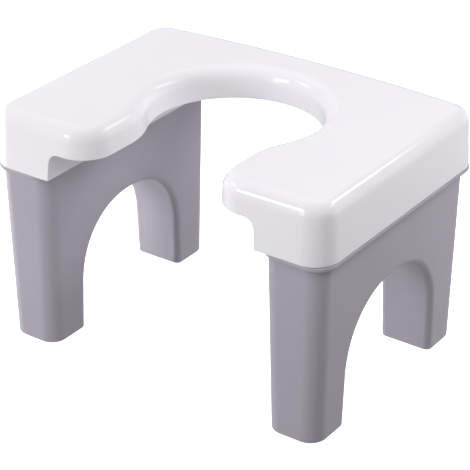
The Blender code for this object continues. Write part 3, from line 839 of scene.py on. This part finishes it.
def make_seat():
    """The seat moulding."""
    s = settings().seat
    flare = taper(skirt_bottom())
    profile = [(flare, skirt_bottom())] + edge_profile(0.0)
    flat_offset, top = profile[-1]
    profile.append((flat_offset - s.rim_radius, top))
    seat = raised("seat_moulding", seat_strokes, profile)
    cut(seat, "DIFFERENCE", span_block())
    open_mesh(seat)
    weld()
    bevel_sharp(s.rim_radius)
    close_mesh()
    side = span_top_half_width()
    hollow = seat_hollow("span_hollow", -side, side)
    cut(seat, "DIFFERENCE", cut_by_group(hollow, "DIFFERENCE", span_ribs()))
    hollow = seat_hollow("socket_hollow", span_half_width() + s.wall, half_width() + OVERRUN)
    cut_by_group(hollow, "DIFFERENCE", socket_ribs())
    middle, _ = leg_middle()
    hole = straight(settings().screw.radius + fit_gap(), LEG_HIGH.z - OVERRUN, SCREW_HIGH.z + fit_gap())
    holes = [lathe("hole", (middle, y), hole, HOLE_STEPS) for y in screw_places()]
    cut_by_group(hollow, "UNION", holes)
    other = mirror_of(hollow, "other_socket_hollow")
    return cut(seat, "DIFFERENCE", hollow, other)


def arch_points(x, growth, bottom):
    """The arch's outline at one X, grown outwards: up one foot, over the crown and down the other."""
    s = settings().leg
    _, middle = leg_middle()
    half = arch_half_width() + growth
    rise = s.arch_rise + growth
    spring = arch_spring()
    power = 2 / s.arch_roundness
    slope = s.arch_draft / spring
    steps = ceil(pi / 2 / settings().facet)
    curve = [(half + slope * (spring - bottom), bottom)]
    for step in range(steps):
        a = pi / 2 * step / steps
        curve.append((half * cos(a) ** power, spring + rise * sin(a) ** power))
    side = [(x, middle - y, z) for y, z in curve]
    other = [(x, middle + y, z) for y, z in reversed(curve)]
    return side + [(x, middle, spring + rise)] + other


def arch_block(name, growth):
    """A bar of the arch's section that runs through the leg and below the floor."""
    points = arch_points(span_half_width(), growth, -2 * OVERRUN)
    return extruded(name, points, (half_width() - span_half_width(), 0, 0))


def on_arch_edge(line, bottom):
    """Whether an edge lies where the arch breaks through a side face."""
    if len(line.link_faces) != 2:
        return False
    sideways = [abs(face.normal.x) > SIDEWAYS for face in line.link_faces]
    if sideways[0] == sideways[1]:
        return False
    _, middle = leg_middle()
    within = all(abs(end.co.y - middle) < arch_half_width() + OVERRUN for end in line.verts)
    above = any(end.co.z > bottom + MERGE for end in line.verts)
    return within and above


def leg_hollow():
    """The space inside a leg's walls, round the hump over its arch."""
    s = settings().leg
    floor = LEG_LOW.z + s.floor
    rim = rim_bottom()
    top = LEG_HIGH.z + OVERRUN
    hollow = bridged("hollow", [(leg_strokes(floor, s.wall), floor), (leg_strokes(rim, s.wall), rim)])
    inward = s.wall + s.spigot_step
    neck = bridged("neck", [(leg_strokes(rim, inward), rim - OVERRUN), (leg_strokes(top, inward), top)])
    cut(hollow, "UNION", neck)
    cut(hollow, "DIFFERENCE", arch_block("hump", s.arch_wall))
    open_mesh(hollow)
    choose_edges(lambda line: on_arch_edge(line, floor))
    bevel(s.arch_edge - s.arch_wall, HUMP_STEPS)
    close_mesh()
    return cut_by_group(hollow, "DIFFERENCE", leg_ribs())


def leg_ribs():
    """Ribs and screw wells that stand in the leg's hollow."""
    s = settings().leg
    half = s.rib_thickness / 2
    top = LEG_HIGH.z - s.rib_recess
    low_x, high_x = span_half_width(), half_width()
    x, y = leg_middle()
    ribs = [block("rib", (low_x, at - half, 0), (high_x, at + half, top))
            for at in (*foot_centres(), *screw_places())]
    reach = arch_half_width()
    ribs.append(block("rib", (x - half, y - reach, 0), (x + half, y + reach, rim_bottom())))
    radius = settings().screw.head_radius + s.well_clearance + s.well_wall
    well = straight(radius, arch_spring(), LEG_HIGH.z + OVERRUN)
    return ribs + [lathe("well", (x, at), well, ROUND_STEPS) for at in screw_places()]


def leg_holes():
    """Cutters for the wells, the screw holes, the pads' recesses and the pegs' holes."""
    s = settings().leg
    pad = settings().pad
    screw = settings().screw
    fit = fit_gap()
    x, _ = leg_middle()
    ceiling = LEG_HIGH.z - s.well_web
    well = straight(screw.head_radius + s.well_clearance, arch_spring(), ceiling)
    shaft = straight(screw.radius + fit, ceiling - OVERRUN, LEG_HIGH.z + OVERRUN)
    recess = straight(fit, -OVERRUN, pad.standout + pad.recess)
    peg_hole = straight(pad.peg_radius + fit, 0, LEG_LOW.z + s.floor + OVERRUN)
    holes = []
    for y in screw_places():
        holes.append(lathe("well", (x, y), well, ROUND_STEPS))
        holes.append(lathe("shaft", (x, y), shaft, HOLE_STEPS))
    for y in foot_centres():
        holes.append(raised("recess", lambda offset, y=y: pad_strokes(y, offset), recess))
        holes += [lathe("peg_hole", at, peg_hole, HOLE_STEPS) for at in peg_places(y)]
    return holes


def flange():
    """The rim that the seat's skirt stands on."""
    s = settings().leg
    inner_x = span_half_width() + s.flange_span + s.flange_inner_corner
    outer_x = half_width() - s.flange_side - s.flange_outer_corner
    edge_y = front_y() + s.flange_front
    outer, outer_close = back_corner(outer_x, s.flange_back + s.flange_outer_corner)
    inner, inner_close = back_corner(inner_x, s.flange_back + s.flange_inner_corner)
    strokes = [
        ((outer_x, edge_y + s.flange_outer_corner), s.flange_outer_corner, -pi / 2, 0),
        (outer, s.flange_outer_corner, 0, outer_close),
        (inner, s.flange_inner_corner, inner_close, pi),
        ((inner_x, edge_y + s.flange_inner_corner), s.flange_inner_corner, pi, 3 * pi / 2),
    ]
    rim = raised("rim", lambda offset: strokes, [(0, rim_bottom()), (0, LEG_HIGH.z - s.spigot_height)])
    open_mesh(rim)
    bevel_sharp(s.flange_edge)
    close_mesh()
    return rim


def make_leg():
    """The right leg."""
    s = settings().leg
    rim = rim_bottom()
    bottom = -OVERRUN
    leg = bridged("right_leg_tub", [(leg_strokes(bottom), bottom), (leg_strokes(rim), rim)])
    cut(leg, "DIFFERENCE", arch_block("arch", 0))
    open_mesh(leg)
    choose_edges(lambda line: on_arch_edge(line, bottom))
    bevel(s.arch_edge, ARCH_STEPS)
    bpy.ops.mesh.select_all(action="SELECT")
    bpy.ops.mesh.bisect(plane_co=(0, 0, LEG_LOW.z), plane_no=(0, 0, 1), use_fill=True, clear_inner=True)
    choose_edges(lambda line: all(end.co.z < LEG_LOW.z + MERGE for end in line.verts))
    bevel(s.foot_edge, RIM_STEPS)
    close_mesh()
    spigot = bridged("spigot", [(leg_strokes(rim, s.spigot_step), rim),
                                (leg_strokes(LEG_HIGH.z, s.spigot_step), LEG_HIGH.z)])
    cut(leg, "UNION", spigot, flange())
    cut(leg, "DIFFERENCE", leg_hollow())
    return cut_by_group(leg, "DIFFERENCE", leg_holes())


def pad_strokes(y, offset=0.0):
    """A pad's outline round the middle of a foot, moved out by an offset."""
    s = settings().pad
    (_, low_y), (_, high_y) = leg_faces(0)
    (low_x, _), (high_x, _) = leg_faces(0, s.margin - offset)
    inner = arch_half_width() + settings().leg.arch_draft
    half = ((high_y - low_y) / 2 - inner) / 2 - s.margin + offset
    return rounded_strokes((low_x, y - half), (high_x, y + half), s.corner + offset, s.corner + offset)


def peg_places(y):
    """Places of the two pegs of the pad in the middle of a foot."""
    x, _ = leg_middle()
    spread = settings().pad.peg_spread
    return [(x + side * spread, y + side * spread / 2) for side in (-1, 1)]


def make_pad(name, y):
    """A foot pad with its two pegs and its grip grooves."""
    s = settings().pad
    top = s.standout + s.recess - fit_gap()
    edge = [(-s.edge * (1 - cos(a)), s.edge * (1 - sin(a))) for a in QUARTER]
    pad = raised(name, lambda offset: pad_strokes(y, offset), [(0, top)] + edge)
    x, _ = leg_middle()
    grooves = []
    for step in range(-s.grooves_each_way, s.grooves_each_way + 1):
        at = y + s.groove_pitch * step
        low = (x - OVERRUN * 2, at - s.groove_width / 2, -OVERRUN)
        grooves.append(block("groove", low, (x + OVERRUN * 2, at + s.groove_width / 2, s.groove_depth)))
    cut_by_group(pad, "DIFFERENCE", grooves)
    head = LEG_LOW.z + settings().leg.floor + fit_gap()
    profile = [(s.peg_radius, s.edge), (s.peg_radius, head), (s.peg_radius + s.peg_lip, head),
               (s.peg_radius, head + s.peg_head)]
    return cut_by_group(pad, "UNION", [lathe("peg", at, profile, HOLE_STEPS) for at in peg_places(y)])


def make_thread(x, y, bottom):
    """The ridge that winds up a screw's shank."""
    s = settings().screw
    item = new_mesh("thread")
    sunk = s.root_radius - SINK
    draw_loop([(sunk, 0, 0), (s.radius, 0, s.pitch * CREST_SHARE), (sunk, 0, s.pitch * END_SHARE)])
    bpy.ops.object.mode_set(mode="OBJECT")
    steps = s.turns * s.thread_steps
    apply_modifier(item, "SCREW", axis="Z", angle=2 * pi * s.turns, screw_offset=s.pitch * s.turns,
                   steps=steps, render_steps=steps, use_merge_vertices=False)
    open_mesh(item)
    bpy.ops.mesh.select_all(action="SELECT")
    bpy.ops.transform.translate(value=(x, y, bottom))
    cap_mesh()
    return item


def make_screw(name, y):
    """A pan-head screw with a cross recess and a thread."""
    s = settings().screw
    x, _ = leg_middle()
    seat_z = SCREW_LOW.z + s.head_height
    crown = [(s.head_radius - s.head_crown * (1 - sin(a)), SCREW_LOW.z + s.head_crown * (1 - cos(a)))
             for a in QUARTER]
    profile = crown + [
        (s.head_radius, seat_z),
        (s.root_radius, seat_z),
        (s.root_radius, SCREW_HIGH.z - s.tip_length),
        (s.tip_radius, SCREW_HIGH.z),
    ]
    screw = lathe(name, (x, y), profile, ROUND_STEPS)
    cut(screw, "UNION", make_thread(x, y, seat_z + s.plain_length))
    slots = []
    for along, across in ((s.slot_reach, s.slot_width / 2), (s.slot_width / 2, s.slot_reach)):
        low = (x - along, y - across, SCREW_LOW.z - OVERRUN)
        slots.append(block("slot", low, (x + along, y + across, SCREW_LOW.z + s.slot_depth)))
    return cut_by_group(screw, "DIFFERENCE", slots)


def set_inputs(node, values):
    """Set a node's inputs by name."""
    for name, value in values.items():
        node.inputs[name.replace("_", " ")].default_value = value


def new_surface(name, **values):
    """A new material and its shader, whose inputs are set by name."""
    made = bpy.data.materials.new(name)
    made.use_nodes = True
    shader = made.node_tree.nodes["Principled BSDF"]
    set_inputs(shader, values)
    return made, shader


def add_node(tree, kind, **values):
    """A node with its inputs set by name."""
    node = tree.nodes.new(kind)
    set_inputs(node, values)
    return node


def speckle(tree, scale, detail):
    """Noise that is fixed to the object."""
    where = tree.nodes.new("ShaderNodeTexCoord")
    noise = add_node(tree, "ShaderNodeTexNoise", Scale=scale, Detail=detail)
    tree.links.new(where.outputs["Object"], noise.inputs["Vector"])
    return noise.outputs["Fac"]


def mottle(shader, tone, spread, scale, detail):
    """Let the colour vary a little with a noise."""
    tree = shader.id_data
    noise = speckle(tree, scale, detail)
    ramp = tree.nodes.new("ShaderNodeValToRGB")
    low, high = ramp.color_ramp.elements
    low.position = NOISE_LOW
    high.position = NOISE_HIGH
    low.color = (*(channel * (1 - spread) for channel in tone), 1)
    high.color = (*(min(1, channel * (1 + spread)) for channel in tone), 1)
    tree.links.new(noise, ramp.inputs["Fac"])
    tree.links.new(ramp.outputs["Color"], shader.inputs["Base Color"])


def vary_roughness(shader, low, high, scale, detail):
    """Let the roughness vary with a noise."""
    tree = shader.id_data
    noise = speckle(tree, scale, detail)
    span = add_node(tree, "ShaderNodeMapRange", To_Min=low, To_Max=high)
    tree.links.new(noise, span.inputs["Value"])
    tree.links.new(span.outputs["Result"], shader.inputs["Roughness"])


def roughen(shader, strength, distance, scale, detail):
    """Let a noise stand out as relief."""
    tree = shader.id_data
    noise = speckle(tree, scale, detail)
    relief = add_node(tree, "ShaderNodeBump", Strength=strength, Distance=distance)
    tree.links.new(noise, relief.inputs["Height"])
    tree.links.new(relief.outputs["Normal"], shader.inputs["Normal"])


def white_gloss():
    """Glossy white moulded plastic, with a faint ripple."""
    f = settings().finish
    usual = f.white_roughness
    made, shader = new_surface("white_gloss", IOR=1.5)
    mottle(shader, f.white, spread=0.006, scale=9.0, detail=2.0)
    vary_roughness(shader, usual * SMOOTHER, usual * ROUGHER, scale=60.0, detail=4.0)
    roughen(shader, strength=0.05, distance=0.001, scale=45.0, detail=2.0)
    return made


def grey_satin():
    """Satin grey moulded plastic, with a fine grain."""
    f = settings().finish
    usual = f.grey_roughness
    made, shader = new_surface("grey_satin", IOR=1.5)
    mottle(shader, f.grey, spread=0.02, scale=14.0, detail=3.0)
    vary_roughness(shader, usual * SMOOTHER, usual * ROUGHER, scale=90.0, detail=3.0)
    roughen(shader, strength=0.08, distance=0.0002, scale=1800.0, detail=2.0)
    return made


def dark_rubber():
    """Dull dark rubber with a fine grain."""
    made, shader = new_surface("dark_rubber", IOR=1.52)
    mottle(shader, settings().finish.rubber, spread=0.15, scale=300.0, detail=4.0)
    vary_roughness(shader, low=0.7, high=0.88, scale=150.0, detail=3.0)
    roughen(shader, strength=0.2, distance=0.0002, scale=2500.0, detail=2.0)
    return made


def zinc_steel():
    """Zinc plated steel, faintly blotched."""
    made, shader = new_surface("zinc_steel", Metallic=1.0)
    mottle(shader, settings().finish.steel, spread=0.06, scale=900.0, detail=3.0)
    vary_roughness(shader, low=0.24, high=0.38, scale=1500.0, detail=3.0)
    return made


class STOOL_OT_seat(Operator):
    """Model the keyhole seat moulding"""

    bl_idname = "stool.seat"
    bl_label = "Seat moulding"

    def execute(self, context):
        present(make_seat(), white_gloss(), "white_plastic", "seat_shell")
        return {"FINISHED"}


class STOOL_OT_legs(Operator):
    """Model the two arched legs"""

    bl_idname = "stool.legs"
    bl_label = "Leg tubs"

    def execute(self, context):
        present_pair(make_leg(), "left_leg_tub", grey_satin(), "grey_plastic", "leg")
        return {"FINISHED"}


class STOOL_OT_pads(Operator):
    """Model the four foot pads"""

    bl_idname = "stool.pads"
    bl_label = "Foot pads"

    def execute(self, context):
        present_four(make_pad, "pad", foot_centres(), dark_rubber(), "pad_rubber", "foot_pad")
        return {"FINISHED"}


class STOOL_OT_screws(Operator):
    """Model the four fixing screws"""

    bl_idname = "stool.screws"
    bl_label = "Fixing screws"

    def execute(self, context):
        present_four(make_screw, "fixing", screw_places(), zinc_steel(), "screw_steel", "screw")
        return {"FINISHED"}


def way(azimuth, elevation):
    """The direction at an azimuth, from the front towards the right, and an elevation."""
    across = cos(elevation)
    return Vector((sin(azimuth) * across, -cos(azimuth) * across, sin(elevation)))


def aim(position, target, roll):
    """The place and turn of an object that looks at a target, rolled about its view."""
    back = (Vector(position) - Vector(target)).normalized()
    across = Vector((0, 0, 1)).cross(back).normalized()
    up = back.cross(across)
    turned = Matrix((across, up, back)).transposed().to_4x4()
    return Matrix.Translation(position) @ turned @ Matrix.Rotation(roll, 4, "Z")


def add_softbox(name, azimuth, elevation, roll, width, height, power, distance, colour, mirrored):
    """A soft rectangular light that faces the stool, from angles in degrees."""
    bpy.ops.object.light_add(type="AREA")
    lamp = bpy.context.object
    lamp.name = name
    target = Vector((0, 0, settings().studio.light_height))
    spot = target + way(radians(azimuth), radians(elevation)) * distance
    lamp.matrix_world = aim(spot, target, radians(roll))
    lamp.data.shape = "RECTANGLE"
    lamp.data.size = width
    lamp.data.size_y = height
    lamp.data.energy = power
    lamp.data.color = colour
    lamp.visible_camera = False
    lamp.visible_glossy = mirrored


def add_glow(tree, total, azimuth, elevation, narrowness, glow):
    """Add a soft glow from one side to the world's light, and return the new total."""
    where = tree.nodes.new("ShaderNodeTexCoord")
    facing = tree.nodes.new("ShaderNodeVectorMath")
    facing.operation = "DOT_PRODUCT"
    facing.inputs[1].default_value = way(radians(azimuth), radians(elevation))
    tree.links.new(where.outputs["Generated"], facing.inputs[0])
    here = facing.outputs["Value"]
    for operation, number in (("MAXIMUM", 0.0), ("POWER", narrowness)):
        step = tree.nodes.new("ShaderNodeMath")
        step.operation = operation
        step.inputs[1].default_value = number
        tree.links.new(here, step.inputs[0])
        here = step.outputs["Value"]
    both = tree.nodes.new("ShaderNodeVectorMath")
    both.operation = "MULTIPLY_ADD"
    both.inputs[1].default_value = (glow,) * 3
    tree.links.new(here, both.inputs[0])
    if total:
        tree.links.new(total, both.inputs[2])
    return both.outputs["Vector"]


def set_world():
    """Light the stool by soft glows from all round."""
    world = bpy.data.worlds.new("studio")
    bpy.context.scene.world = world
    world.use_nodes = True
    tree = world.node_tree
    total = None
    for glow in GLOWS:
        total = add_glow(tree, total, *glow)
    tree.links.new(total, tree.nodes["Background"].inputs["Color"])


def lay_floor(size):
    """A plain white floor that keeps the glow from below."""
    bpy.ops.mesh.primitive_plane_add(size=size)
    floor = bpy.context.object
    floor.name = "floor"
    made, _ = new_surface("white_floor", Base_Color=(0.9, 0.9, 0.9, 1), Roughness=0.9,
                          Emission_Color=(1, 1, 1, 1), Emission_Strength=1.0)
    floor.data.materials.append(made)
    floor.visible_diffuse = False
    floor.visible_glossy = False
    floor.visible_shadow = False


class STOOL_OT_stage(Operator):
    """Set up the camera, the floor and the studio light"""

    bl_idname = "stool.stage"
    bl_label = "Studio"

    def execute(self, context):
        s = settings().studio
        target = Vector(s.target)
        bpy.ops.object.camera_add()
        camera = bpy.context.object
        camera.name = "camera"
        camera.matrix_world = aim(target + way(s.azimuth, s.elevation) * s.distance, target, s.roll)
        camera.data.lens = s.lens
        camera.data.clip_end = s.floor_size * SIGHT
        context.scene.camera = camera
        context.scene.view_settings.view_transform = "Standard"
        lay_floor(s.floor_size)
        set_world()
        for row in SOFTBOXES:
            add_softbox(*row, FAR, NEUTRAL, mirrored=True)
        for row in FILLS:
            add_softbox(*row, mirrored=False)
        return {"FINISHED"}


OPERATORS = (STOOL_OT_seat, STOOL_OT_legs, STOOL_OT_pads, STOOL_OT_screws, STOOL_OT_stage)
GROUPS = (SeatSizes, LegSizes, PadSizes, ScrewSizes, Finishes, Studio, StoolSettings)


class STOOL_PT_panel(Panel):
    """Steps that build the stool"""

    bl_idname = "STOOL_PT_panel"
    bl_label = "Toilet stool"
    bl_space_type = "VIEW_3D"
    bl_region_type = "UI"
    bl_category = "Stool"

    def draw(self, context):
        for operator in OPERATORS:
            self.layout.operator(operator.bl_idname)


def register():
    for item in (*GROUPS, *OPERATORS, STOOL_PT_panel):
        bpy.utils.register_class(item)
    bpy.types.Scene.stool = PointerProperty(type=StoolSettings)


def unregister():
    del bpy.types.Scene.stool
    for item in reversed((*GROUPS, *OPERATORS, STOOL_PT_panel)):
        bpy.utils.unregister_class(item)


def main():
    register()
    bpy.ops.stool.seat()
    bpy.ops.stool.legs()
    bpy.ops.stool.pads()
    bpy.ops.stool.screws()
    bpy.ops.stool.stage()


if __name__ == "__main__":
    main()
